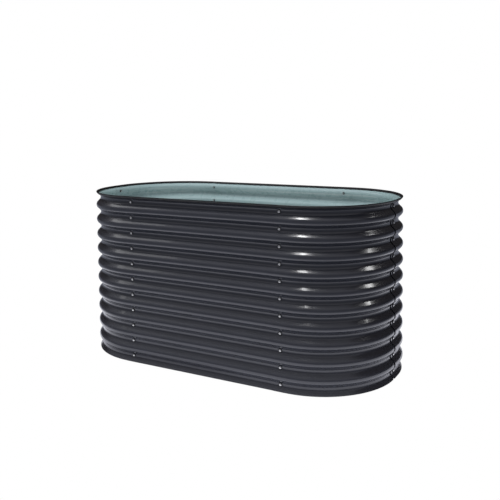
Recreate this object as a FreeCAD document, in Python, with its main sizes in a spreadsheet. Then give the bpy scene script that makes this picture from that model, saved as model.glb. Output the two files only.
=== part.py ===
import FreeCAD
import Part
import Sketcher
import math
import os
from FreeCAD import Placement, Rotation, Vector

# Tall raised garden bed with a stadium plan, open at the top and the bottom.
# Four rolled corner panels and two straight side panels of corrugated sheet lap at six
# upright seams, and a column of bolts in the valleys of the waves clamps each lap.
# The long axis is X, the floor is z = 0, and the origin is under the middle of the bed.
# Going round anticlockwise from above, each panel starts outside the end of the last one.

DRIVING_SIZES = {
    # the ring
    "seam_spacing": 800,
    "end_radius": 380,
    "lap_width": 60,
    # the corrugated sheet
    "wave_pitch": 75.6,
    "wave_count": 11,
    "wave_depth": 22,
    "flank_angle": 45,
    "sheet_gauge": 0.8,
    "nest_clearance": 0.1,
    "first_bolt_height": 26,
    # the rubber channel on the top edge
    "rim_lean": 30,
    "channel_wall": 0.9,
    "channel_roof": 3.2,
    "channel_leg": 6.5,
    "channel_clearance": 0.2,
    "channel_joint": 0.6,
    # the fasteners
    "bolt_diameter": 6,
    "bolt_length": 16,
    "bolt_point": 0.8,
    "hole_diameter": 7,
    "head_diameter": 11.5,
    "head_height": 3.4,
    "head_edge": 1.2,
    "seal_diameter": 18,
    "seal_thickness": 1.5,
    "washer_bore": 6.4,
    "washer_diameter": 12.5,
    "washer_thickness": 1.2,
    "nut_flats": 10,
    "nut_height": 5,
    "nut_bore": 6.2,
    "seat_clearance": 0.1,
}

# Each of these follows from the driving sizes and from those above it.
DERIVED_SIZES = {
    "bend_radius": "(sizes.wave_pitch / 2 * tan(sizes.flank_angle) - sizes.wave_depth)"
    " * cos(sizes.flank_angle) / (2 * (1 - cos(sizes.flank_angle)))",
    "nest_step": "(sizes.sheet_gauge + sizes.nest_clearance) / cos(sizes.flank_angle)",
    "corner_reach": "sizes.end_radius - sizes.lap_width / 2",
    "panel_length": "sizes.seam_spacing + sizes.lap_width",
    "stack_height": "(sizes.wave_count - 1) * sizes.wave_pitch",
    "valley_radius": "worked.bend_radius - sizes.sheet_gauge / 2",
    "crest_radius": "worked.bend_radius + sizes.sheet_gauge / 2",
    "slot_half": "sizes.sheet_gauge / 2 + worked.nest_step + sizes.channel_clearance",
    "channel_half": "worked.slot_half + sizes.channel_wall",
    "top_crest": "sizes.first_bolt_height + worked.stack_height + sizes.wave_pitch / 2",
    "channel_eye": "worked.top_crest - worked.bend_radius * sin(sizes.rim_lean)",
    "rim_height": "worked.channel_eye + worked.channel_half",
    "slot_top": "worked.rim_height - sizes.channel_roof",
    "sheet_top": "worked.slot_top - sizes.seat_clearance",
    "seal_back": "worked.valley_radius - sizes.seat_clearance",
    "seal_face": "worked.seal_back - sizes.seal_thickness",
    "head_seat": "worked.valley_radius + sizes.seat_clearance"
    " - sqrt(worked.seal_face ^ 2 - (sizes.head_diameter / 2) ^ 2)",
    "lap_back": "worked.nest_step + sizes.sheet_gauge + sizes.seat_clearance",
    "nut_seat": "worked.lap_back + sizes.washer_thickness + sizes.seat_clearance",
}

TRIM_ROOM = 50  # how far a trimming rectangle reaches past what it cuts

doc = FreeCAD.newDocument("raised_garden_bed")

sizes = doc.addObject("Spreadsheet::Sheet", "sizes")
for row, (alias, number) in enumerate(DRIVING_SIZES.items(), start=1):
    sizes.set("A%d" % row, alias)
    sizes.set("B%d" % row, str(number))
    sizes.setAlias("B%d" % row, alias)
doc.recompute()

worked = doc.addObject("App::VarSet", "worked")
for alias, expression in DERIVED_SIZES.items():
    worked.addProperty("App::PropertyFloat", alias)
    worked.setExpression(alias, expression)
    doc.recompute()


def value(expression):
    """The number that an expression gives now."""
    return float(worked.evalExpression(expression))


def origin_feature(body, role):
    return next(f for f in body.Origin.OriginFeatures if f.Role == role)


def new_body(label):
    body = doc.addObject("PartDesign::Body", label)
    body.Label = label
    body.AllowCompound = True
    return body


def new_sketch(body, name, role, offset=None):
    """A sketch on one of the body's origin planes, moved along its normal by offset."""
    sketch = body.newObject("Sketcher::SketchObject", name)
    sketch.AttachmentSupport = [(origin_feature(body, role), "")]
    sketch.MapMode = "FlatFace"
    if offset:
        sketch.setExpression("AttachmentOffset.Base.z", offset)
    return sketch


def drive(sketch, kind, place, expression):
    """Adds a dimension to the sketch that keeps to an expression."""
    number = value(expression)
    if kind == "Angle":
        number = math.radians(number)
    index = sketch.addConstraint(Sketcher.Constraint(kind, *place, number))
    sketch.setExpression("Constraints[%d]" % index, expression)


def relate(sketch, kind, *places):
    for place in places:
        sketch.addConstraint(Sketcher.Constraint(kind, *place))


def arc(centre, radius, start, end):
    """An anticlockwise arc between two angles in radians."""
    return Part.ArcOfCircle(Part.Circle(Vector(*centre, 0), Vector(0, 0, 1), radius), start, end)


def on_arc(centre, radius, angle):
    return Vector(centre[0] + radius * math.cos(angle), centre[1] + radius * math.sin(angle), 0)


def segment(start, end):
    return Part.LineSegment(start, end)


def pad(body, name, sketch, length, reverse=False, both_ways=False):
    feature = body.newObject("PartDesign::Pad", name)
    feature.Profile = sketch
    feature.Reversed = reverse
    feature.Midplane = both_ways
    feature.setExpression("Length", length)
    doc.recompute()
    return feature


def cut_through(body, name, sketch, reverse=False, both_ways=False):
    """Cuts the sketch all the way through, and makes sure that it removes something."""
    before = body.Shape.Volume
    feature = body.newObject("PartDesign::Pocket", name)
    feature.Profile = sketch
    feature.Type = "ThroughAll"
    feature.Reversed = reverse
    feature.Midplane = both_ways
    doc.recompute()
    if not feature.Shape.Volume < before:
        raise RuntimeError(name + " cuts nothing")
    return feature


def stack(body, features):
    """Repeats the features up the body, once for each wave."""
    pattern = body.newObject("PartDesign::LinearPattern", "stack")
    pattern.Originals = features
    pattern.Direction = (origin_feature(body, "Z_Axis"), [""])
    pattern.setExpression("Length", "worked.stack_height")
    pattern.setExpression("Occurrences", "sizes.wave_count")
    body.Tip = pattern
    doc.recompute()


def draw_wave(body, name, role, reach):
    """One wave of the sheet, crest to crest, with its valley's outside at reach."""
    bend, across = value("worked.bend_radius"), value("worked.crest_radius - worked.valley_radius")
    lean = math.radians(value("sizes.flank_angle"))
    crest_reach = reach + " - sizes.sheet_gauge / 2 + sizes.wave_depth - worked.bend_radius"
    valley_reach = reach + " + worked.valley_radius"
    height, pitch = value("sizes.first_bolt_height"), value("sizes.wave_pitch")
    valley = (value(valley_reach), height)
    low, high = [(value(crest_reach), height + way * pitch / 2) for way in (-1, 1)]

    sketch = new_sketch(body, name, role)
    for skin in (across / 2, -across / 2):
        sketch.addGeometry([
            arc(low, bend + skin, 0, lean),
            segment(on_arc(low, bend + skin, lean), on_arc(valley, bend - skin, math.pi + lean)),
            arc(valley, bend - skin, math.pi - lean, math.pi + lean),
            segment(on_arc(valley, bend - skin, math.pi - lean), on_arc(high, bend + skin, -lean)),
            arc(high, bend + skin, -lean, 0),
        ], False)
    for crest in (low, high):
        ends = [on_arc(crest, bend + skin, 0) for skin in (across / 2, -across / 2)]
        sketch.addGeometry(segment(*ends), False)

    outside, inside, low_end, high_end = 0, 5, 10, 11
    for side in (outside, inside):
        relate(sketch, "Tangent", (side, 2, side + 1, 1), (side + 1, 2, side + 2, 2))
        relate(sketch, "Tangent", (side + 2, 1, side + 3, 1), (side + 3, 2, side + 4, 1))
        relate(sketch, "Horizontal", (side, 1, side, 3), (side + 4, 2, side + 4, 3))
    for bent in (0, 2, 4):
        relate(sketch, "Coincident", (inside + bent, 3, outside + bent, 3))
    relate(sketch, "Coincident", (low_end, 1, outside, 1), (low_end, 2, inside, 1))
    relate(sketch, "Coincident", (high_end, 1, outside + 4, 2), (high_end, 2, inside + 4, 2))
    for crest, shift in ((outside, "-"), (outside + 4, "+")):
        drive(sketch, "Radius", (crest,), "worked.crest_radius")
        drive(sketch, "Radius", (crest + inside,), "worked.valley_radius")
        drive(sketch, "DistanceX", (-1, 1, crest, 3), crest_reach)
        drive(sketch, "DistanceY", (-1, 1, crest, 3),
              "sizes.first_bolt_height " + shift + " sizes.wave_pitch / 2")
    drive(sketch, "Radius", (outside + 2,), "worked.valley_radius")
    drive(sketch, "Radius", (inside + 2,), "worked.crest_radius")
    drive(sketch, "DistanceX", (-1, 1, outside + 2, 3), valley_reach)
    drive(sketch, "DistanceY", (-1, 1, outside + 2, 3), "sizes.first_bolt_height")
    return sketch


def draw_channel(body, name, role, reach):
    """The rubber channel's section, which follows the sheet's last flank and bend."""
    bend = value("worked.bend_radius")
    lean, tip = [math.radians(value(a)) for a in ("sizes.flank_angle", "sizes.rim_lean")]
    outer, slot = value("worked.channel_half"), value("worked.slot_half")
    crest_reach = reach + " - sizes.sheet_gauge / 2 + sizes.wave_depth - worked.bend_radius"
    crest = (value(crest_reach), value("worked.top_crest"))
    eye = on_arc(crest, bend, -tip)
    down = Vector(math.sin(lean), math.cos(lean), 0) * -value("sizes.channel_leg")
    slot_drop = crest[1] - value("worked.slot_top")

    def leg(skin):
        knee = on_arc(crest, bend + skin, -lean)
        return segment(knee + down, knee)

    def slot_end(skin):
        return -math.asin(slot_drop / (bend + skin))

    sketch = new_sketch(body, name, role)
    sketch.addGeometry([
        leg(outer),
        arc(crest, bend + outer, -lean, -tip),
        arc((eye.x, eye.y), outer, -tip, math.pi - tip),
        arc(crest, bend - outer, -lean, -tip),
        leg(-outer),
        segment(leg(-outer).StartPoint, leg(-slot).StartPoint),
        leg(-slot),
        arc(crest, bend - slot, -lean, slot_end(-slot)),
        segment(on_arc(crest, bend - slot, slot_end(-slot)), on_arc(crest, bend + slot, slot_end(slot))),
        arc(crest, bend + slot, -lean, slot_end(slot)),
        leg(slot),
        segment(leg(slot).StartPoint, leg(outer).StartPoint),
    ], False)
    (out_leg, out_bend, top, in_bend, in_leg, in_foot,
     slot_in_leg, slot_in_bend, roof, slot_out_bend, slot_out_leg, out_foot) = range(12)
    bends = ((out_leg, out_bend, "+ worked.channel_half"), (in_leg, in_bend, "- worked.channel_half"),
             (slot_in_leg, slot_in_bend, "- worked.slot_half"),
             (slot_out_leg, slot_out_bend, "+ worked.slot_half"))
    for straight, bent, skin in bends:
        relate(sketch, "Tangent", (straight, 2, bent, 1))
        drive(sketch, "Radius", (bent,), "worked.bend_radius " + skin)
        if bent != out_bend:
            relate(sketch, "Coincident", (bent, 3, out_bend, 3))
            relate(sketch, "Parallel", (straight, out_leg))
    relate(sketch, "Tangent", (out_bend, 2, top, 1), (in_bend, 2, top, 2))
    relate(sketch, "Coincident", (in_leg, 1, in_foot, 1), (in_foot, 2, slot_in_leg, 1))
    relate(sketch, "Coincident", (slot_in_bend, 2, roof, 1), (roof, 2, slot_out_bend, 2))
    relate(sketch, "Coincident", (slot_out_leg, 1, out_foot, 1), (out_foot, 2, out_leg, 1))
    relate(sketch, "Perpendicular", (out_foot, out_leg), (in_foot, in_leg))
    relate(sketch, "PointOnObject", (in_foot, 1, out_foot))
    relate(sketch, "Horizontal", (roof,))
    drive(sketch, "Angle", (out_leg,), "90 - sizes.flank_angle")
    drive(sketch, "Distance", (out_leg,), "sizes.channel_leg")
    drive(sketch, "DistanceX", (-1, 1, out_bend, 3), crest_reach)
    drive(sketch, "DistanceY", (-1, 1, out_bend, 3), "worked.top_crest")
    drive(sketch, "DistanceY", (-1, 1, top, 3), "worked.channel_eye")
    drive(sketch, "DistanceY", (-1, 1, roof, 1), "worked.slot_top")
    return sketch


def draw_circle(sketch, across, up, diameter):
    """A circle placed from the sketch's origin, where across may be left out for zero."""
    centre = Vector(value(across) if across else 0, value(up) if up else 0, 0)
    index = sketch.addGeometry(Part.Circle(centre, Vector(0, 0, 1), value(diameter) / 2), False)
    for kind, expression in (("DistanceX", across), ("DistanceY", up)):
        if expression:
            drive(sketch, kind, (-1, 1, index, 3), expression)
    if not across and not up:
        relate(sketch, "Coincident", (index, 3, -1, 1))
    elif not across:
        relate(sketch, "PointOnObject", (index, 3, -2))
    drive(sketch, "Diameter", (index,), diameter)
    return index


def draw_polygon(sketch, points):
    """A closed outline through points given as pairs of expressions."""
    corners = [Vector(value(x), value(y), 0) for x, y in points]
    first = sketch.GeometryCount
    for corner, following in zip(corners, corners[1:] + corners[:1]):
        sketch.addGeometry(segment(corner, following), False)
    for turn, (x, y) in enumerate(points):
        line, last = first + turn, first + (turn - 1) % len(points)
        relate(sketch, "Coincident", (last, 2, line, 1))
        drive(sketch, "DistanceX", (-1, 1, line, 1), x)
        drive(sketch, "DistanceY", (-1, 1, line, 1), y)


def trim_edges(body, half_x, half_y):
    """Cuts the stacked waves level at the floor and at the sheet's top edge."""
    low_x, low_y = "-(" + half_x + ")", "-(" + half_y + ")"
    outline = [(low_x, low_y), (half_x, low_y), (half_x, half_y), (low_x, half_y)]
    floor = new_sketch(body, "floor_line", "XY_Plane")
    draw_polygon(floor, outline)
    cut_through(body, "level_bottom", floor)
    top = new_sketch(body, "top_line", "XY_Plane", "worked.sheet_top")
    draw_polygon(top, outline)
    cut_through(body, "level_top", top, reverse=True)


def sweep_corner(body, profile, reach, lap, steps):
    """A quarter turn of the profile about Z, with a straight lap at each end.

    The panel stands out at its start by some nesting steps, so its end lap is longer by them.
    """
    start = profile(body, "start_section", "XZ_Plane", reach)
    end = profile(body, "end_section", "YZ_Plane", reach)
    doc.recompute()
    bend = body.newObject("PartDesign::Revolution", "bend")
    bend.Profile = start
    bend.ReferenceAxis = (origin_feature(body, "Z_Axis"), [""])
    bend.Angle = 90
    doc.recompute()
    start_lap = pad(body, "start_lap", start, lap)
    end_lap = pad(body, "end_lap", end, "%s + %d * worked.nest_step" % (lap, steps), reverse=True)
    return [bend, start_lap, end_lap]


def make_corner_panel(body, steps):
    """The rolled panel from +X round to +Y, about its own centre of bend."""
    features = sweep_corner(body, draw_wave, "worked.corner_reach", "sizes.lap_width", steps)
    start, end = "-sizes.lap_width / 2", "-sizes.lap_width / 2 - %d * worked.nest_step" % steps
    for name, role, across, reverse in (("start_hole", "YZ_Plane", start, True),
                                        ("end_hole", "XZ_Plane", end, False)):
        sketch = new_sketch(body, name + "_place", role)
        draw_circle(sketch, across, "sizes.first_bolt_height", "sizes.hole_diameter")
        features.append(cut_through(body, name, sketch, reverse))
    stack(body, features)
    half = "sizes.end_radius + sizes.wave_depth + %d" % TRIM_ROOM
    trim_edges(body, half, half)


def make_side_panel(body):
    """The straight panel whose outside looks along +Y."""
    sketch = draw_wave(body, "section", "YZ_Plane", "sizes.end_radius")
    features = [pad(body, "sheet", sketch, "worked.panel_length", both_ways=True)]
    holes = new_sketch(body, "hole_places", "XZ_Plane")
    for way in ("-", "+"):
        draw_circle(holes, way + "sizes.seam_spacing / 2", "sizes.first_bolt_height", "sizes.hole_diameter")
    features.append(cut_through(body, "holes", holes))
    stack(body, features)
    trim_edges(body, "worked.panel_length / 2 + %d" % TRIM_ROOM,
               "sizes.end_radius + sizes.wave_depth + %d" % TRIM_ROOM)


def make_corner_channel(body, steps):
    """The channel on a corner panel, cut square at the middle of each lap."""
    lap = "(sizes.lap_width - sizes.channel_joint) / 2"
    sweep_corner(body, draw_channel, "worked.corner_reach", lap, steps)


def make_side_channel(body):
    sketch = draw_channel(body, "section", "YZ_Plane", "sizes.end_radius")
    pad(body, "strip", sketch, "sizes.seam_spacing - sizes.channel_joint", both_ways=True)


# A column of fasteners is drawn with its lowest bolt's axis along Y, its head towards +Y, and
# the outside of the outer sheet's valley at y = 0.

def make_bolts(body):
    """A domed head on a plain shank, turned about the bolt's axis."""
    sketch = new_sketch(body, "half_section", "YZ_Plane")
    seat, edge = "worked.head_seat", "worked.head_seat + sizes.head_edge"
    crown = "worked.head_seat + sizes.head_height"
    tip = "worked.head_seat - sizes.bolt_length"
    head, shank = "sizes.head_diameter / 2", "sizes.bolt_diameter / 2"
    corners = [
        (crown, "0"), (tip, "0"), (tip, shank + " - sizes.bolt_point"),
        (tip + " + sizes.bolt_point", shank), (seat, shank), (seat, head), (edge, head),
    ]
    points = [Vector(value(x), value(y), 0) for x, y in corners]
    for start, end in zip(points, points[1:]):
        sketch.addGeometry(segment(start, end), False)
    radius = value("((%s)^2 + (%s)^2) / (2 * (%s))" % (head, DOME_RISE, DOME_RISE))
    centre = (points[0].x - radius, 0)
    dome = sketch.addGeometry(arc(centre, radius, 0, math.asin(points[-1].y / radius)), False)
    for line in range(len(points) - 2):
        relate(sketch, "Coincident", (line, 2, line + 1, 1))
    relate(sketch, "Coincident", (dome, 1, 0, 1), (dome, 2, dome - 1, 2))
    relate(sketch, "PointOnObject", (dome, 3, -1))
    for line, (x, y) in enumerate(corners[:-1]):
        drive(sketch, "DistanceX", (-1, 1, line, 1), x)
        if y == "0":
            relate(sketch, "PointOnObject", (line, 1, -1))
        else:
            drive(sketch, "DistanceY", (-1, 1, line, 1), y)
    drive(sketch, "DistanceX", (-1, 1, dome, 2), edge)
    drive(sketch, "DistanceY", (-1, 1, dome, 2), head)
    doc.recompute()
    turned = body.newObject("PartDesign::Revolution", "turned")
    turned.Profile = sketch
    turned.ReferenceAxis = (origin_feature(body, "Y_Axis"), [""])
    turned.Angle = 360
    doc.recompute()
    stack(body, [turned])


DOME_RISE = "sizes.head_height - sizes.head_edge"


def make_seals(body):
    """A rubber washer under the head, bent to the valley that it lies in."""
    sketch = new_sketch(body, "band", "YZ_Plane")
    centre = (value("worked.valley_radius"), 0)
    back, face = value("worked.seal_back"), value("worked.seal_face")
    spread = math.asin(value("sizes.seal_diameter") / 2 / face)
    low, high = math.pi - spread, math.pi + spread
    sketch.addGeometry([
        arc(centre, back, low, high),
        segment(on_arc(centre, back, high), on_arc(centre, face, high)),
        arc(centre, face, low, high),
        segment(on_arc(centre, face, low), on_arc(centre, back, low)),
    ], False)
    relate(sketch, "Coincident", (0, 2, 1, 1), (1, 2, 2, 2), (2, 1, 3, 1), (3, 2, 0, 1), (2, 3, 0, 3))
    relate(sketch, "PointOnObject", (0, 3, -1), (0, 3, 1), (0, 3, 3))
    relate(sketch, "Symmetric", (2, 1, 2, 2, -1))
    drive(sketch, "Radius", (0,), "worked.seal_back")
    drive(sketch, "Radius", (2,), "worked.seal_face")
    drive(sketch, "DistanceX", (-1, 1, 0, 3), "worked.valley_radius")
    drive(sketch, "DistanceY", (2, 2, 2, 1), "sizes.seal_diameter")
    band = pad(body, "bent_band", sketch, "sizes.seal_diameter + 2 * sizes.seal_thickness", both_ways=True)

    outline = new_sketch(body, "round_outline", "XZ_Plane")
    half = "sizes.seal_diameter + sizes.seal_thickness"
    draw_polygon(outline, [("-(" + half + ")", "-(" + half + ")"), (half, "-(" + half + ")"),
                           (half, half), ("-(" + half + ")", half)])
    draw_circle(outline, None, None, "sizes.seal_diameter")
    draw_circle(outline, None, None, "sizes.washer_bore")
    stack(body, [band, cut_through(body, "cut_round", outline)])


def make_washers(body):
    """Flat steel washers on the inside of the lap."""
    ring = new_sketch(body, "ring", "XZ_Plane", "worked.lap_back")
    draw_circle(ring, None, None, "sizes.washer_diameter")
    draw_circle(ring, None, None, "sizes.washer_bore")
    stack(body, [pad(body, "disc", ring, "sizes.washer_thickness")])


def make_nuts(body):
    """Hexagon nuts on the inside washers."""
    outline = new_sketch(body, "hexagon", "XZ_Plane", "worked.nut_seat")
    flat = "sizes.nut_flats / 2"
    corner = "sizes.nut_flats / 2 * tan(30)"
    apex = "sizes.nut_flats / 2 / cos(30)"
    draw_polygon(outline, [(flat, corner), ("0", apex), ("-" + flat, corner),
                           ("-" + flat, "-" + corner), ("0", "-" + apex), (flat, "-" + corner)])
    draw_circle(outline, None, None, "sizes.nut_bore")
    stack(body, [pad(body, "hexagon_bar", outline, "sizes.nut_height")])


def place(body, turn, x, y, z=None):
    """Turns the body about Z by degrees, and keeps its place to the expressions."""
    body.Placement = Placement(Vector(0, 0, 0), Rotation(Vector(0, 0, 1), turn))
    for axis, expression in (("x", x), ("y", y), ("z", z)):
        if expression:
            body.setExpression("Placement.Base." + axis, expression)


def copy_of(pattern, label):
    """A body with the same shape as another one."""
    body = new_body(label)
    twin = doc.addObject("PartDesign::FeatureBase", "twin")
    body.Group = [twin]
    twin.BaseFeature = pattern
    body.Tip = twin
    return body


END_CENTRE = "(sizes.seam_spacing + sizes.lap_width) / 2"
LAP_HALF = "sizes.lap_width / 2"
END_REACH = "(sizes.seam_spacing / 2 + sizes.end_radius + worked.nest_step)"

# The name, turn and place of each copy. A corner that starts at the bed's end stands one
# nesting step out there, and a corner that starts at its side stands two steps out.
ONE_STEP_CORNERS = (
    ("back_right", 0, END_CENTRE + " + worked.nest_step", LAP_HALF),
    ("front_left", 180, "-" + END_CENTRE + " - worked.nest_step", "-" + LAP_HALF),
)
TWO_STEP_CORNERS = (
    ("back_left", 90, "-" + END_CENTRE, LAP_HALF + " + 2 * worked.nest_step"),
    ("front_right", 270, END_CENTRE, "-" + LAP_HALF + " - 2 * worked.nest_step"),
)
SIDES = (
    ("back", 0, None, "worked.nest_step"),
    ("front", 180, None, "-worked.nest_step"),
)
SEAMS = (
    ("back_right", 0, "sizes.seam_spacing / 2", "sizes.end_radius + worked.nest_step"),
    ("back_left", 0, "-sizes.seam_spacing / 2", "sizes.end_radius + 2 * worked.nest_step"),
    ("left_end", 90, "-" + END_REACH, None),
    ("front_left", 180, "-sizes.seam_spacing / 2", "-(sizes.end_radius + worked.nest_step)"),
    ("front_right", 180, "sizes.seam_spacing / 2", "-(sizes.end_radius + 2 * worked.nest_step)"),
    ("right_end", 270, END_REACH, None),
)
FAMILIES = (
    ("corner_panel_%s", lambda body: make_corner_panel(body, 1), ONE_STEP_CORNERS, None),
    ("corner_panel_%s", lambda body: make_corner_panel(body, 2), TWO_STEP_CORNERS, None),
    ("side_panel_%s", make_side_panel, SIDES, None),
    ("corner_edge_trim_%s", lambda body: make_corner_channel(body, 1), ONE_STEP_CORNERS, None),
    ("corner_edge_trim_%s", lambda body: make_corner_channel(body, 2), TWO_STEP_CORNERS, None),
    ("side_edge_trim_%s", make_side_channel, SIDES, None),
    ("bolts_%s", make_bolts, SEAMS, "sizes.first_bolt_height"),
    ("rubber_washers_%s", make_seals, SEAMS, "sizes.first_bolt_height"),
    ("steel_washers_%s", make_washers, SEAMS, "sizes.first_bolt_height"),
    ("nuts_%s", make_nuts, SEAMS, "sizes.first_bolt_height"),
)

nodes = []
for naming, make, places, height in FAMILIES:
    master = new_body(naming % "master")
    make(master)
    for name, turn, x, y in places:
        node = copy_of(master, naming % name)
        place(node, turn, x, y, height)
        nodes.append(node)
doc.recompute()

for item in doc.Objects:
    if "Invalid" in item.State or "Error" in item.State:
        raise RuntimeError("%s: %s" % (item.Label, item.State))
for node in nodes:
    if node.Shape.isNull() or not node.Shape.isValid():
        raise RuntimeError(node.Label + " has no valid shape")

os.makedirs("parts", exist_ok=True)
for node in nodes:
    node.Shape.exportStep("parts/%s.step" % node.Label)
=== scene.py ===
"""The looks of the raised garden bed: glossy corrugated sheet with a rubber trim on its top edge.

The sheets and the trim are built here as fine smooth meshes, on the frame's own sizes. The bolts,
washers and nuts are the frame's pieces, and get their finishes here.
"""
import math
from typing import NamedTuple

import bpy
from mathutils import Matrix, Vector


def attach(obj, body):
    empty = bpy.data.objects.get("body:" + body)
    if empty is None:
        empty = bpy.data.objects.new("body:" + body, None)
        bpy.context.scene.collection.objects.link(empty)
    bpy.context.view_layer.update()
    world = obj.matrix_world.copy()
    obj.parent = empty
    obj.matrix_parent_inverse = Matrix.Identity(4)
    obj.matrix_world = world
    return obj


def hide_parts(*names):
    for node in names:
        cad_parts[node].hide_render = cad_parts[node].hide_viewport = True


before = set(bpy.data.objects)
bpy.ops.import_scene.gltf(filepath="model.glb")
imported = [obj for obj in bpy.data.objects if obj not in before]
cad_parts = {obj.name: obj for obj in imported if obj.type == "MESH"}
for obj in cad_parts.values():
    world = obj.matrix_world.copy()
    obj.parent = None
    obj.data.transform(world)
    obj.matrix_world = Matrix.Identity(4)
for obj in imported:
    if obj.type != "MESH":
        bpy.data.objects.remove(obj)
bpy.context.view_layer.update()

# ---------------------------------------------------------------- sizes of the bed, in metres
END_RADIUS = 0.380  # outside of a valley, on the round ends
SEAM_X = 0.400  # the long sides' seams stand this far from the middle
LAP = 0.060
WAVE_PITCH = 0.0756
WAVE_COUNT = 11
WAVE_DEPTH = 0.022
GAUGE = 0.0008
FLANK = math.radians(45)
FIRST_VALLEY = 0.026  # height of the lowest valley
SHEET_TOP = 0.80974  # height of the cut edge, just under the channel's roof
NEST_CLEARANCE = 0.0001
NEST_STEP = (GAUGE + NEST_CLEARANCE) / math.cos(FLANK)  # how far a sheet stands off the one it laps over

# the bend radius, at the middle of the sheet, that makes waves of this pitch and depth
BEND = (WAVE_PITCH / 2 * math.tan(FLANK) - WAVE_DEPTH) * math.cos(FLANK) / (2 * (1 - math.cos(FLANK)))
CREST_EYE = WAVE_DEPTH - GAUGE / 2 - BEND  # crest arcs' centre, outward of the valley's outside
VALLEY_EYE = BEND - GAUGE / 2
FLOOR_CREST = FIRST_VALLEY - WAVE_PITCH / 2
RIM_CREST = FIRST_VALLEY + (WAVE_COUNT - 0.5) * WAVE_PITCH

CHANNEL_LEAN = math.radians(30)  # where on the last bend the channel's rounded top sits
CHANNEL_LEG = 0.0065  # how far its two legs reach down the flank
CHANNEL_ROOF = 0.0032
CHANNEL_JOINT = 0.0006  # gap between two lengths of it
CHANNEL_CLEARANCE = 0.0002
CHANNEL_WALL = 0.0009
SLOT_HALF = GAUGE / 2 + NEST_STEP + CHANNEL_CLEARANCE
CHANNEL_HALF = SLOT_HALF + CHANNEL_WALL
FOOT_EASE = 0.35  # how much of a leg's thickness its eased edges take

LAP_GAP = 0.0035  # the under sheet of an end seam stands this far off the upper one's free edge
LAP_GAP_REACH = 0.009  # how far along the wall from that edge the gap fades out
SINK_START = RIM_CREST - WAVE_PITCH / 4  # the trim holds the sheet above this height
SINK_FULL = RIM_CREST - WAVE_PITCH / 2

# how finely the meshes are divided
ARC_STEPS = 8
FLOOR_ARC_STEPS = 2
RIM_ARC_STEPS = 3
CHANNEL_BEND_STEPS = 4
CHANNEL_TOP_STEPS = 14
BEND_STEPS = 40
LAP_STEP = 0.02
SIDE_STEP = 0.03
EDGE_BEND_STEPS = 3  # so many of the bend's last steps are divided again beside the gap at an end seam
EDGE_DIVISIONS = 8
EDGE_LAP_STEP = 0.002

# ---------------------------------------------------------------- node helpers


def new_material(name):
    material = bpy.data.materials.new(name)
    material.use_nodes = True
    return material, material.node_tree, material.node_tree.nodes["Principled BSDF"]


def node(tree, kind, **settings):
    made = tree.nodes.new(kind)
    for name, value in settings.items():
        setattr(made, name, value)
    return made


def calculate(tree, operation, *values):
    made = node(tree, "ShaderNodeMath", operation=operation)
    for socket, value in zip(made.inputs, values):
        if isinstance(value, (int, float)):
            socket.default_value = value
        else:
            tree.links.new(value, socket)
    return made.outputs["Value"]


def parts_of(tree, vector):
    made = node(tree, "ShaderNodeSeparateXYZ")
    tree.links.new(vector, made.inputs["Vector"])
    return made.outputs


def noise(tree, place, scale, detail=4.0):
    made = node(tree, "ShaderNodeTexNoise")
    made.inputs["Scale"].default_value = scale
    made.inputs["Detail"].default_value = detail
    tree.links.new(place, made.inputs["Vector"])
    return made.outputs["Fac"]


def ramp(tree, source, stops):
    made = node(tree, "ShaderNodeValToRGB")
    elements = made.color_ramp.elements
    while len(elements) < len(stops):
        elements.new(0.5)
    for element, (at_share, colour) in zip(elements, stops):
        element.position = at_share
        element.color = (*colour, 1)
    tree.links.new(source, made.inputs["Fac"])
    return made.outputs["Color"]


def grade(tree, source, low, high, to_low, to_high):
    made = node(tree, "ShaderNodeMapRange")
    for name, value in (("From Min", low), ("From Max", high), ("To Min", to_low), ("To Max", to_high)):
        made.inputs[name].default_value = value
    tree.links.new(source, made.inputs["Value"])
    return made.outputs["Result"]


def bump(tree, height, distance, strength=1.0, after=None):
    made = node(tree, "ShaderNodeBump")
    made.inputs["Distance"].default_value = distance
    made.inputs["Strength"].default_value = strength
    tree.links.new(height, made.inputs["Height"])
    if after:
        tree.links.new(after, made.inputs["Normal"])
    return made.outputs["Normal"]


def places(tree):
    return node(tree, "ShaderNodeTexCoord").outputs["Object"]


# ---------------------------------------------------------------- materials


def painted_steel(name, dark, light, roughness, coat):
    """Coil-coated sheet: a smooth paint film with a faint orange peel, over slightly uneven steel."""
    material, tree, shader = new_material(name)
    place = places(tree)
    colour = ramp(tree, noise(tree, place, 9), ((0.3, dark), (0.7, light)))
    tree.links.new(colour, shader.inputs["Base Color"])
    sheen = grade(tree, noise(tree, place, 30, detail=6), 0.3, 0.7, *roughness)
    tree.links.new(sheen, shader.inputs["Roughness"])
    peel = bump(tree, noise(tree, place, 260, detail=1), distance=0.000001)
    unevenness = bump(tree, noise(tree, place, 4, detail=0), distance=0.0001, strength=0.25, after=peel)
    tree.links.new(unevenness, shader.inputs["Normal"])
    shader.inputs["Coat Weight"].default_value = coat
    shader.inputs["Coat Roughness"].default_value = 0.04
    return material


def mottled_metal(name, colour, roughness):
    """Zinc plating or a bare cut: metal with a fine mottle in its colour and its gloss."""
    material, tree, shader = new_material(name)
    place = places(tree)
    dull = tuple(0.75 * c for c in colour)
    mottle = ramp(tree, noise(tree, place, 350), ((0.35, dull), (0.65, colour)))
    tree.links.new(mottle, shader.inputs["Base Color"])
    sheen = grade(tree, noise(tree, place, 900), 0.3, 0.7, *roughness)
    tree.links.new(sheen, shader.inputs["Roughness"])
    shader.inputs["Metallic"].default_value = 1.0
    return material


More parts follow.
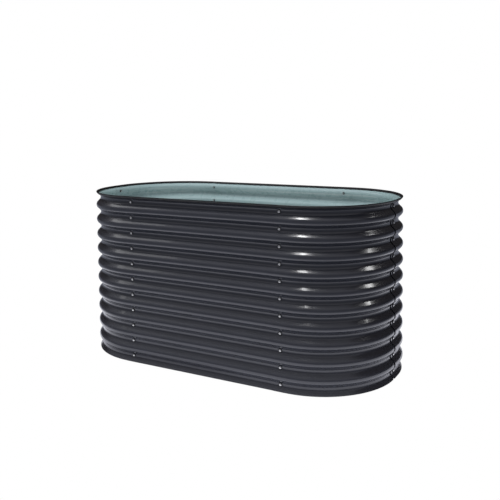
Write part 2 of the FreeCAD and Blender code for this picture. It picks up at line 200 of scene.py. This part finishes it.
def rubber(name, colour, roughness):
    """Black rubber with a fine grain and a dusty bloom."""
    material, tree, shader = new_material(name)
    place = places(tree)
    dusty = tuple(2.2 * c for c in colour)
    bloom = ramp(tree, noise(tree, place, 60, detail=6), ((0.4, colour), (0.75, dusty)))
    tree.links.new(bloom, shader.inputs["Base Color"])
    shader.inputs["Roughness"].default_value = roughness
    grain = bump(tree, noise(tree, place, 1800, detail=2), distance=0.0001, strength=0.5)
    tree.links.new(grain, shader.inputs["Normal"])
    return material


def glowing(name, strength):
    """Something that is seen by its own light alone, which is white until a colour is linked."""
    material, tree, shader = new_material(name)
    shader.inputs["Base Color"].default_value = (0, 0, 0, 1)
    shader.inputs["Specular IOR Level"].default_value = 0.0
    shader.inputs["Emission Color"].default_value = (1, 1, 1, 1)
    shader.inputs["Emission Strength"].default_value = strength
    return material, tree, shader


OUTSIDE = painted_steel("charcoal_paint", dark=(0.027, 0.029, 0.037), light=(0.031, 0.033, 0.042),
                        roughness=(0.22, 0.27), coat=0.35)
INSIDE = painted_steel("grey_green_primer", dark=(0.28, 0.385, 0.39), light=(0.295, 0.40, 0.405),
                       roughness=(0.25, 0.32), coat=0.3)
# the sheets' bare cut edges, with a fine mottle; their near-black colour is painted shade, so the edges at
# the seams read as dark gap lines
CUT_EDGE = mottled_metal("shade_darkened_cut_edge", (0.06, 0.06, 0.065), (0.5, 0.65))
ZINC = mottled_metal("zinc_plate", (0.78, 0.78, 0.76), (0.18, 0.32))
DULL_ZINC = mottled_metal("dull_zinc", (0.22, 0.22, 0.22), (0.35, 0.5))
TRIM_RUBBER = rubber("trim_rubber", (0.004, 0.004, 0.0045), 0.5)
SEAL_RUBBER = rubber("seal_rubber", (0.010, 0.010, 0.011), 0.7)

# ---------------------------------------------------------------- sections, as (outward, height) points


def arc(eye, radius, start, end, steps):
    """Points of an arc and the directions from its centre, from angle start to end."""
    turns = [start + (end - start) * k / steps for k in range(steps + 1)]
    return [((eye[0] + radius * math.cos(t), eye[1] + radius * math.sin(t)), (math.cos(t), math.sin(t)))
            for t in turns]


def sheet_skin(side):
    """The waved sheet's outside (side 1) or inside (side -1) from the floor to its top edge.

    Each point comes with the direction that faces outward from the bed there.
    """
    crest, valley = BEND + side * GAUGE / 2, BEND - side * GAUGE / 2
    start = math.asin(-FLOOR_CREST / crest)
    end = math.asin((SHEET_TOP - RIM_CREST) / crest)
    line = arc((CREST_EYE, FLOOR_CREST), crest, start, FLANK, FLOOR_ARC_STEPS)
    for k in range(WAVE_COUNT):
        middle = FIRST_VALLEY + k * WAVE_PITCH
        hollow = arc((VALLEY_EYE, middle), valley, math.pi + FLANK, math.pi - FLANK, ARC_STEPS)
        line += [(point, (-away[0], -away[1])) for point, away in hollow]
        last = k == WAVE_COUNT - 1
        crest_end, steps = (end, RIM_ARC_STEPS) if last else (FLANK, ARC_STEPS)
        line += arc((CREST_EYE, middle + WAVE_PITCH / 2), crest, -FLANK, crest_end, steps)
    return line


def channel_section():
    """The rubber channel's closed outline, which follows the sheet's last flank and bend."""
    eye = (CREST_EYE, RIM_CREST)
    tip = (eye[0] + BEND * math.cos(CHANNEL_LEAN), eye[1] - BEND * math.sin(CHANNEL_LEAN))
    slot_top = tip[1] + CHANNEL_HALF - CHANNEL_ROOF

    def leg(skin):
        knee = (eye[0] + (BEND + skin) * math.cos(FLANK), eye[1] - (BEND + skin) * math.sin(FLANK))
        return (knee[0] - CHANNEL_LEG * math.sin(FLANK), knee[1] - CHANNEL_LEG * math.cos(FLANK))

    def bend(skin, end):
        return [point for point, _ in arc(eye, BEND + skin, -FLANK, end, CHANNEL_BEND_STEPS)]

    def roof(skin):
        return math.asin((slot_top - eye[1]) / (BEND + skin))

    def foot(inner, outer):
        """A leg's foot between two skins, with its two edges eased."""
        ease = FOOT_EASE * CHANNEL_WALL
        up = (math.sin(FLANK) * ease, math.cos(FLANK) * ease)
        near, far = leg(inner), leg(outer)
        step = ((far[0] - near[0]) * FOOT_EASE, (far[1] - near[1]) * FOOT_EASE)
        return [(near[0] + up[0], near[1] + up[1]), (near[0] + step[0], near[1] + step[1]),
                (far[0] - step[0], far[1] - step[1]), (far[0] + up[0], far[1] + up[1])]

    top = arc(tip, CHANNEL_HALF, -CHANNEL_LEAN, math.pi - CHANNEL_LEAN, CHANNEL_TOP_STEPS)[1:-1]
    outline = bend(CHANNEL_HALF, -CHANNEL_LEAN) + [point for point, _ in top]
    outline += bend(-CHANNEL_HALF, -CHANNEL_LEAN)[::-1]
    outline += foot(-CHANNEL_HALF, -SLOT_HALF) + bend(-SLOT_HALF, roof(-SLOT_HALF))
    outline += bend(SLOT_HALF, roof(SLOT_HALF))[::-1] + foot(SLOT_HALF, CHANNEL_HALF)
    return outline


# ---------------------------------------------------------------- routes in plan, anticlockwise from above

FLAT = LAP / 2  # a corner panel is flat for half a lap inside its ends, and bends between
INNER_BEND = END_RADIUS - FLAT


class Station(NamedTuple):
    """A place on a route where the section stands, and the direction that is outward there.

    Near another sheet's free edge, the section is sunk below the trim, and faces a little aside.
    """
    point: Vector
    out: Vector
    sunk: Vector = None
    aside: Vector = None


def straight(start, end, outward, step):
    """Stations from start to end, not counting the end."""
    start, end = Vector(start), Vector(end)
    count = max(1, round((end - start).length / step))
    return [Station(start.lerp(end, k / count), Vector(outward)) for k in range(count)]


def bend_shares(last_steps, divisions):
    """Shares of a quarter turn in even steps, the last ones divided again."""
    even_steps = BEND_STEPS - last_steps
    shares = [k / BEND_STEPS for k in range(even_steps)]
    return shares + [(even_steps + k / divisions) / BEND_STEPS for k in range(last_steps * divisions)]


def sunken(station, free_edge):
    """A station with its sunk place: the sheet stands furthest off right at the free edge."""
    point, out = station.point, station.out
    ahead = Vector((-out.y, out.x))
    along = (point - free_edge).dot(ahead)
    sink = LAP_GAP * math.exp(-(along / LAP_GAP_REACH) ** 2)
    slope = -2 * along / LAP_GAP_REACH ** 2 * sink
    return Station(point, out, point - out * sink, (out + ahead * slope).normalized())


def corner_route(centre, turn, steps, lap, gap=False):
    """A corner's stations: a flat lap, a quarter turn about centre, and a lap longer by the nesting steps.

    With gap, the sheet stands off the free edge of the panel that laps over its far end.
    """
    shares = bend_shares(EDGE_BEND_STEPS, EDGE_DIVISIONS) if gap else bend_shares(0, 1)
    stations = straight((INNER_BEND, -lap), (INNER_BEND, 0), (1, 0), LAP_STEP)
    for share in shares:
        out = Vector((math.cos(math.pi / 2 * share), math.sin(math.pi / 2 * share)))
        stations.append(Station(out * INNER_BEND, out))
    far = (-lap - steps * NEST_STEP, INNER_BEND)
    stations += straight((0, INNER_BEND), far, (0, 1), EDGE_LAP_STEP if gap else LAP_STEP)
    stations.append(Station(Vector(far), Vector((0, 1))))
    spin = Matrix.Rotation(math.radians(turn), 2)
    stations = [Station(spin @ s.point + Vector(centre), spin @ s.out) for s in stations]
    if not gap:
        return stations
    free_edge = spin @ Vector((-steps * NEST_STEP, INNER_BEND)) + Vector(centre)
    return [sunken(s, free_edge) for s in stations]


def side_route(side, half):
    """A long side's stations: side is 1 at the back and -1 in front."""
    y = side * (END_RADIUS + NEST_STEP)
    start, end, out = (side * half, y), (-side * half, y), (0, side)
    return straight(start, end, out, SIDE_STEP) + [Station(Vector(end), Vector(out))]


CORNERS = {  # bend centre, turn, and how many nesting steps its far lap reaches
    "back_right": ((SEAM_X + FLAT + NEST_STEP, FLAT), 0, 1),
    "back_left": ((-SEAM_X - FLAT, FLAT + 2 * NEST_STEP), 90, 2),
    "front_left": ((-SEAM_X - FLAT - NEST_STEP, -FLAT), 180, 1),
    "front_right": ((SEAM_X + FLAT, -FLAT - 2 * NEST_STEP), 270, 2),
}
SIDES = {"back": 1, "front": -1}

# ---------------------------------------------------------------- meshes

PAINTED, PRIMED, BARE = range(3)  # a sheet's material slots


def at(station, outward, height):
    """A place on a station's section, sunk where the station is, except under the edge trim."""
    point = station.point
    if station.sunk is not None:
        share = min(1, max(0, (SINK_START - height) / (SINK_START - SINK_FULL)))
        point = point.lerp(station.sunk, share)
    return Vector((*(point + station.out * outward), height))


def facing_out(station, height):
    return station.aside if station.sunk is not None and height < SINK_FULL else station.out


def finished(name, mesh, replaced):
    """A new piece of the bed that stands for the frame's node of that name."""
    piece = bpy.data.objects.new(name, mesh)
    bpy.context.scene.collection.objects.link(piece)
    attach(piece, "root")
    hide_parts(replaced)
    return piece


def sheet_panel(node_name, route):
    """A panel as a closed sheet: painted skins outside and inside, and bare cut edges, whose near-black
    colour is painted shade.
    """
    outside, inside = sheet_skin(1), sheet_skin(-1)
    rows, columns = len(outside), len(route)
    points, normals = [], []
    for skin, facing in ((outside, 1), (inside, -1)):
        for station in route:
            for (outward, height), (across, up) in skin:
                points.append(at(station, outward, height))
                normals.append(facing * Vector((*(facing_out(station, height) * across), up)))

    def outer(i, j):
        return i * rows + j

    def inner(i, j):
        return (columns + i) * rows + j

    faces, kinds = [], []

    def quad(kind, *corners):
        faces.append(corners)
        kinds.append(kind)

    top, last = rows - 1, columns - 1
    for i in range(last):
        for j in range(top):
            quad(PAINTED, outer(i, j), outer(i + 1, j), outer(i + 1, j + 1), outer(i, j + 1))
            quad(PRIMED, inner(i, j), inner(i, j + 1), inner(i + 1, j + 1), inner(i + 1, j))
        quad(BARE, outer(i, 0), inner(i, 0), inner(i + 1, 0), outer(i + 1, 0))
        quad(BARE, outer(i, top), outer(i + 1, top), inner(i + 1, top), inner(i, top))
    for j in range(top):
        quad(BARE, outer(0, j), outer(0, j + 1), inner(0, j + 1), inner(0, j))
        quad(BARE, outer(last, j), inner(last, j), inner(last, j + 1), outer(last, j + 1))

    mesh = bpy.data.meshes.new(node_name)
    mesh.from_pydata(points, [], faces)
    for material in (OUTSIDE, INSIDE, CUT_EDGE):
        mesh.materials.append(material)
    mesh.polygons.foreach_set("material_index", kinds)
    mesh.polygons.foreach_set("use_smooth", [kind != BARE for kind in kinds])
    unchanged = Vector((0, 0, 0))
    split = [unchanged if kinds[face.index] == BARE else normals[mesh.loops[k].vertex_index]
             for face in mesh.polygons for k in face.loop_indices]
    mesh.normals_split_custom_set(split)
    return finished("sheet_" + node_name, mesh, node_name)


def edge_trim(node_name, route):
    """The rubber channel along one panel's top edge, with closed ends."""
    section = channel_section()
    count = len(section)
    points = [at(station, *corner) for station in route for corner in section]
    faces = []
    for i in range(len(route) - 1):
        for j in range(count):
            after = (j + 1) % count
            faces.append((i * count + j, (i + 1) * count + j, (i + 1) * count + after, i * count + after))
    end = (len(route) - 1) * count
    faces.append(tuple(range(count)))
    faces.append(tuple(end + j for j in reversed(range(count))))
    mesh = bpy.data.meshes.new(node_name)
    mesh.from_pydata(points, [], faces)
    mesh.materials.append(TRIM_RUBBER)
    mesh.polygons.foreach_set("use_smooth", [True] * len(faces))
    mesh.set_sharp_from_angle(angle=math.radians(50))
    return finished("rubber_" + node_name, mesh, node_name)


for place, (centre, turn, steps) in CORNERS.items():
    sheet_panel("corner_panel_" + place, corner_route(centre, turn, steps, LAP, gap=steps == 2))
    edge_trim("corner_edge_trim_" + place, corner_route(centre, turn, steps, (LAP - CHANNEL_JOINT) / 2))
for place, side in SIDES.items():
    sheet_panel("side_panel_" + place, side_route(side, SEAM_X + FLAT))
    edge_trim("side_edge_trim_" + place, side_route(side, SEAM_X - CHANNEL_JOINT / 2))

# the fasteners' finishes, by the first word of their nodes' names
FINISHES = {"bolts": ZINC, "steel": DULL_ZINC, "nuts": DULL_ZINC, "rubber": SEAL_RUBBER}
for name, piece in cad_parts.items():
    finish = FINISHES.get(name.split("_")[0])
    if finish:
        piece.data.materials.clear()
        piece.data.materials.append(finish)

# ---------------------------------------------------------------- stage

FLOOR_RADIUS = 30
FLOOR_LEVEL = -0.0005
BACKDROP_RADIUS = 28
BACKDROP_HEIGHT = 20
RING_POINTS = 64

# the floor that is seen in reflections: a glowing card of painted light, how bright it is at each distance
# from the bed, in metres
CARD_LEVEL = -0.0002
CARD_STRENGTH = 1.35
CARD_REACH = 2.0
CARD_LEAN = 0.35  # right of the middle, its painted pool of light leans back by this slope
# painted shade right beside the bed, a painted pool of light from about 0.2 to 1 m off, and dimmer beyond
CARD_PAINTED_LIGHT = (
    (0.0, (0.34, 0.34, 0.38)),
    (0.111, (0.80, 0.81, 0.90)),
    (0.311, (0.93, 0.94, 1.03)),
    (0.533, (0.93, 0.94, 1.03)),
    (0.8, (0.57, 0.58, 0.65)),
    (1.044, (0.27, 0.28, 0.32)),
    (CARD_REACH, (0.19, 0.20, 0.24)),
)
# a glowing floor inside the bed: painted light that stands in for the lit ground there
INNER_CARD_LEVEL = -0.0001
INNER_CARD_RADIUS = 0.36
INNER_CARD_STRENGTH = 1.5

# the studio's light, from the front and the sides (0) to straight behind the bed (1), and from the
# horizon (0) to overhead (1); the two are multiplied
STUDIO_DEPTH = ((0.0, (1, 1, 1)), (0.15, (0.25, 0.22, 0.2)), (1.0, (0.2, 0.18, 0.16)))
STUDIO_HEIGHT = (
    (0.0, (0.17, 0.17, 0.19)),
    (0.3, (0.20, 0.20, 0.22)),
    (0.6, (0.42, 0.42, 0.46)),
    (0.85, (0.50, 0.50, 0.55)),
    (1.0, (0.40, 0.40, 0.44)),
)


def staged(name, points, faces, material):
    mesh = bpy.data.meshes.new(name)
    mesh.from_pydata(points, [], faces)
    mesh.materials.append(material)
    made = bpy.data.objects.new(name, mesh)
    bpy.context.scene.collection.objects.link(made)
    return made


def ring(radius, height):
    turns = [2 * math.pi * k / RING_POINTS for k in range(RING_POINTS)]
    return [(radius * math.cos(t), radius * math.sin(t), height) for t in turns]


def flat_card(name, outline, material):
    return staged(name, outline, [tuple(range(len(outline)))], material)


def backdrop_wall(name, radius, height, material):
    """A round wall that stands on the floor, with a ceiling."""
    count = RING_POINTS
    wall = [(k, (k + 1) % count, count + (k + 1) % count, count + k) for k in range(count)]
    ceiling = tuple(range(count, 2 * count))
    return staged(name, ring(radius, 0) + ring(radius, height), wall + [ceiling], material)


def distance_from_bed(tree):
    """How far a place on the floor lies from the bed's outline, which is a long round-ended loop."""
    x, y, _ = parts_of(tree, places(tree))
    beyond = calculate(tree, "SUBTRACT", calculate(tree, "ABSOLUTE", x), SEAM_X)
    beyond = calculate(tree, "MAXIMUM", beyond, 0)
    lean = calculate(tree, "MULTIPLY", calculate(tree, "MAXIMUM", x, 0), CARD_LEAN)
    across = calculate(tree, "ABSOLUTE", calculate(tree, "SUBTRACT", y, lean))
    squares = [calculate(tree, "POWER", length, 2) for length in (beyond, across)]
    away = calculate(tree, "POWER", calculate(tree, "ADD", *squares), 0.5)
    return calculate(tree, "SUBTRACT", away, END_RADIUS)


def stage():
    """A white floor and backdrop for the camera, and dimmer glowing floors of painted light for the lighting
    and the reflections, with painted shade beside the bed.
    """
    paper, _, _ = glowing("white_paper", 1.0)
    floor = flat_card("floor", ring(FLOOR_RADIUS, FLOOR_LEVEL), paper)
    backdrop = backdrop_wall("backdrop", BACKDROP_RADIUS, BACKDROP_HEIGHT, paper)
    for shown in (floor, backdrop):
        for ray in ("diffuse", "glossy", "transmission", "volume_scatter", "shadow"):
            setattr(shown, "visible_" + ray, False)

    # painted light and shade: the card glows brightest a little away from the bed and darkest right beside
    # it
    card, tree, shader = glowing("floor_painted_light_and_shade", CARD_STRENGTH)
    share = grade(tree, distance_from_bed(tree), 0, CARD_REACH, 0, 1)
    stops = [(distance / CARD_REACH, colour) for distance, colour in CARD_PAINTED_LIGHT]
    tree.links.new(ramp(tree, share, stops), shader.inputs["Emission Color"])
    flat_card("floor_card", ring(FLOOR_RADIUS, CARD_LEVEL), card).visible_camera = False

    # painted light: the ground inside the bed glows
    inner_card, _, _ = glowing("painted_light_floor_inside_the_bed", INNER_CARD_STRENGTH)
    round_ends = ring(INNER_CARD_RADIUS, INNER_CARD_LEVEL)
    loop = [(x + math.copysign(SEAM_X, x), y, z) for x, y, z in round_ends]
    flat_card("inner_floor_card", loop, inner_card).visible_camera = False


def studio():
    """The dim room around the bed, which is lighter in front of it and above."""
    world = bpy.data.worlds.new("studio")
    bpy.context.scene.world = world
    world.use_nodes = True
    tree = world.node_tree
    _, depth, height = parts_of(tree, node(tree, "ShaderNodeTexCoord").outputs["Generated"])
    both = node(tree, "ShaderNodeMixRGB", blend_type="MULTIPLY")
    both.inputs["Fac"].default_value = 1.0
    tree.links.new(ramp(tree, depth, STUDIO_DEPTH), both.inputs["Color1"])
    tree.links.new(ramp(tree, height, STUDIO_HEIGHT), both.inputs["Color2"])
    tree.links.new(both.outputs["Color"], tree.nodes["Background"].inputs["Color"])


# ---------------------------------------------------------------- lights and camera


def direction(azimuth, elevation):
    """A direction from the bed, in degrees: azimuth 0 is in front of it, 90 at its right end."""
    around, up = math.radians(azimuth), math.radians(elevation)
    return Vector((math.sin(around) * math.cos(up), -math.cos(around) * math.cos(up), math.sin(up)))


def soft_light(name, azimuth, elevation, distance, size, power, aim=(0, 0, 0.5), spread=180, mirrored=True):
    """An area light that faces its aim. A mirrored one shows in gloss alone, another lights colour alone."""
    back = direction(azimuth, elevation)
    data = bpy.data.lights.new(name, "AREA")
    data.shape = "RECTANGLE"
    data.size, data.size_y = size
    data.energy = power
    data.spread = math.radians(spread)
    lamp = bpy.data.objects.new(name, data)
    lamp.location = Vector(aim) + back * distance
    lamp.rotation_euler = back.to_track_quat("Z", "Y").to_euler()
    lamp.visible_glossy = mirrored
    lamp.visible_diffuse = not mirrored
    bpy.context.scene.collection.objects.link(lamp)


def lights():
    """A broad overhead fill, narrow beams that give the gloss its highlights, and a softbox at the left."""
    soft_light("overhead_fill", azimuth=-20, elevation=72, distance=2.6, size=(2.2, 1.6), power=62,
               mirrored=False)
    for azimuth, elevation in ((-46, 74), (-28, 67)):
        soft_light("front_beam_%d" % elevation, azimuth, elevation, distance=0.8, size=(0.5, 0.20),
                   power=0.13, aim=(0.48, -0.40, 1.0), spread=18)
    soft_light("end_beam", azimuth=128, elevation=46, distance=1.0, size=(0.5, 0.24), power=0.04,
               aim=(0.75, -0.18, 0.56), spread=14)
    soft_light("left_softbox", azimuth=-82, elevation=42, distance=3.0, size=(1.5, 1.0), power=7.5)


CAMERA_AZIMUTH = 28.855
CAMERA_ELEVATION = 3.95
CAMERA_ROLL = -0.64
CAMERA_DISTANCE = 3.3647
CAMERA_TARGET = Vector((0.0502, 0, 0.9473))
SENSOR_WIDTH = 36
FOCAL_LENGTH = 48.56
SHIFT_UP = -0.17


def camera():
    """The photograph's view: a distant standing eye, a little right of the front, aimed at the rim."""
    back = direction(CAMERA_AZIMUTH, CAMERA_ELEVATION)
    right = Vector((0, 0, 1)).cross(back).normalized()
    facing = Matrix((right, back.cross(right), back)).transposed().to_4x4()
    roll = Matrix.Rotation(math.radians(CAMERA_ROLL), 4, "Z")
    data = bpy.data.cameras.new("camera")
    data.sensor_width = SENSOR_WIDTH
    data.lens = FOCAL_LENGTH
    data.shift_y = SHIFT_UP
    eye = bpy.data.objects.new("camera", data)
    eye.matrix_world = Matrix.Translation(CAMERA_TARGET + back * CAMERA_DISTANCE) @ facing @ roll
    bpy.context.scene.collection.objects.link(eye)
    bpy.context.scene.camera = eye


stage()
studio()
lights()
camera()
bpy.context.scene.view_settings.view_transform = "Standard"
